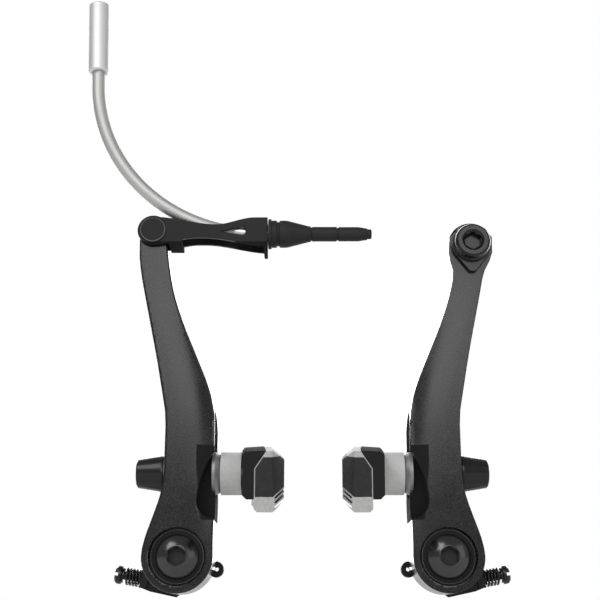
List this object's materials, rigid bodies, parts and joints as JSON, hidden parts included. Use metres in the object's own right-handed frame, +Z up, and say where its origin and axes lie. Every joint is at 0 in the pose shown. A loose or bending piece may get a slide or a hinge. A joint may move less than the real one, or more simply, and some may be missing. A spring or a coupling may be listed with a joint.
{
  "type": "v-brake",
  "caption": "Linear-pull bicycle rim brake: pivoting arms with pads, return springs and tension screws, a link, a bent cable pipe and a rubber boot.",
  "frame": {"origin": "midway between the two pivot axes, in the plane of the fork's boss shoulders, where the bushes end", "axes": "+Z up along the arms, +X to the right as seen from the front of the bicycle, +Y towards the fork along the pivots"},
  "size_m": [0.1363, 0.0717, 0.1946],
  "materials": {
    "arm_black": "satin black anodised",
    "bolt_black": "black oxide steel",
    "link_black": "satin black coated steel",
    "zinc_steel": "zinc plated",
    "plastic_black": "moulded",
    "spring_steel": "drawn wire",
    "spring_black": "black wire",
    "pad_rubber": "moulded in a black and a grey compound",
    "washer_grey": "matt, tumbled",
    "noodle_silver": "satin",
    "ferrule_silver": "brushed",
    "boot_rubber": "moulded"
  },
  "bodies": {
    "fork_hardware": {"left_pivot_bush": "zinc_steel", "left_pivot_washer": "bolt_black", "left_mounting_bolt": "bolt_black", "left_stopper_plate": "zinc_steel", "right_pivot_bush": "zinc_steel", "right_pivot_washer": "bolt_black", "right_mounting_bolt": "bolt_black", "right_stopper_plate": "zinc_steel"},
    "left_arm_group": {"left_arm": "arm_black", "left_spring_holder": "plastic_black", "left_return_spring": "spring_steel", "left_tension_spring": "spring_black", "left_shoe_stud": "zinc_steel", "left_shoe_backing": "plastic_black", "left_brake_pad": "pad_rubber", "left_spacer_washer": "washer_grey", "left_inner_dome_washer": "washer_grey", "left_outer_dome_washer": "washer_grey", "left_outer_seat_washer": "washer_grey", "left_shoe_nut": "bolt_black"},
    "left_screw": {"left_tension_screw": "bolt_black"},
    "link_group": {"link": "link_black", "link_pin": "bolt_black"},
    "noodle_group": {"noodle_tube": "noodle_silver", "noodle_ferrule": "ferrule_silver", "noodle_tip": "zinc_steel", "boot": "boot_rubber"},
    "right_arm_group": {"right_arm": "arm_black", "right_spring_holder": "plastic_black", "right_return_spring": "spring_steel", "right_tension_spring": "spring_black", "right_shoe_stud": "zinc_steel", "right_shoe_backing": "plastic_black", "right_brake_pad": "pad_rubber", "right_spacer_washer": "washer_grey", "right_inner_dome_washer": "washer_grey", "right_outer_dome_washer": "washer_grey", "right_outer_seat_washer": "washer_grey", "right_shoe_nut": "bolt_black", "cable_clamp_plate": "bolt_black", "cable_bolt": "bolt_black"},
    "right_screw": {"right_tension_screw": "bolt_black"}
  },
  "joints": [
    {"name": "left_arm_swing", "type": "hinge", "parent": "fork_hardware", "child": "left_arm_group", "pos_m": [-0.04, 0, 0], "axis": [0, 1, 0], "range_deg": [-25, 6], "stiffness_Nm_per_rad": 1.2, "deforming": ["left_return_spring"]},
    {"name": "right_arm_swing", "type": "hinge", "parent": "fork_hardware", "child": "right_arm_group", "pos_m": [0.04, 0, 0], "axis": [0, -1, 0], "range_deg": [-25, 6], "stiffness_Nm_per_rad": 1.2, "deforming": ["right_return_spring"]},
    {"name": "link_swing", "type": "hinge", "parent": "left_arm_group", "child": "link_group", "pos_m": [-0.0504, -0.01825, 0.1009], "axis": [0, 1, 0], "range_deg": [-50, 0]},
    {"name": "noodle_swivel", "type": "hinge", "parent": "link_group", "child": "noodle_group", "pos_m": [-0.0152, -0.01825, 0.1009], "axis": [1, 0, 0], "range_deg": [-10, 10]},
    {"name": "left_screw_turn", "type": "hinge", "parent": "left_arm_group", "child": "left_screw", "pos_m": [-0.0604, -0.0033, -0.0043], "axis": [0.9848, 0, -0.1736], "range_deg": [-360, 360]},
    {"name": "right_screw_turn", "type": "hinge", "parent": "right_arm_group", "child": "right_screw", "pos_m": [0.0604, -0.0033, -0.0043], "axis": [-0.9848, 0, -0.1736], "range_deg": [-360, 360]}
  ]
}
